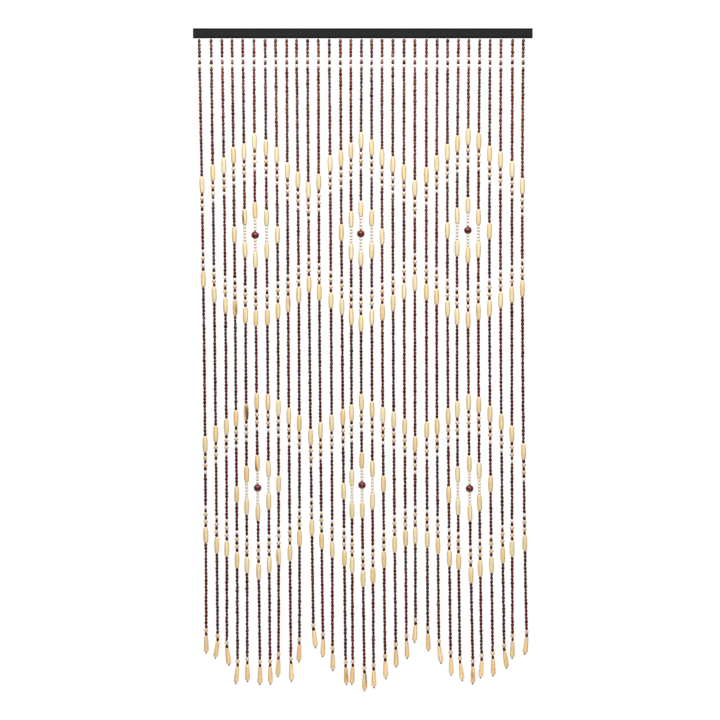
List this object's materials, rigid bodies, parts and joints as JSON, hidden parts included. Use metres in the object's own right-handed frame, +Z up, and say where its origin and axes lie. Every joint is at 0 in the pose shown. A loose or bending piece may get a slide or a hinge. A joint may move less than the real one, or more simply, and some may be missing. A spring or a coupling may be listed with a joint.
{
  "type": "bead curtain with head rail",
  "caption": "Doorway curtain of wooden bead strings in a repeated diamond pattern, each ending in a turned drop, hung from a slim dark head rail.",
  "frame": {"origin": "the middle of the head rail's top face", "axes": "+Z up, against the way the strings hang; +X along the rail, to the right seen from the front; -Y out of the front"},
  "size_m": [0.9, 0.02, 1.7571],
  "materials": {
    "black_wood": "matt black stain",
    "brown_beads": "gloss dark reddish-brown lacquer",
    "ivory_wood": "satin pale natural wood",
    "cream_beads": "satin cream lacquer",
    "red_balls": "gloss burgundy lacquer",
    "thread": "matt braided thread"
  },
  "bodies": {
    "root": {"head_rail": "black_wood", "strings_left": "brown_beads", "strings_middle": "brown_beads", "strings_right": "brown_beads"}
  },
  "joints": []
}
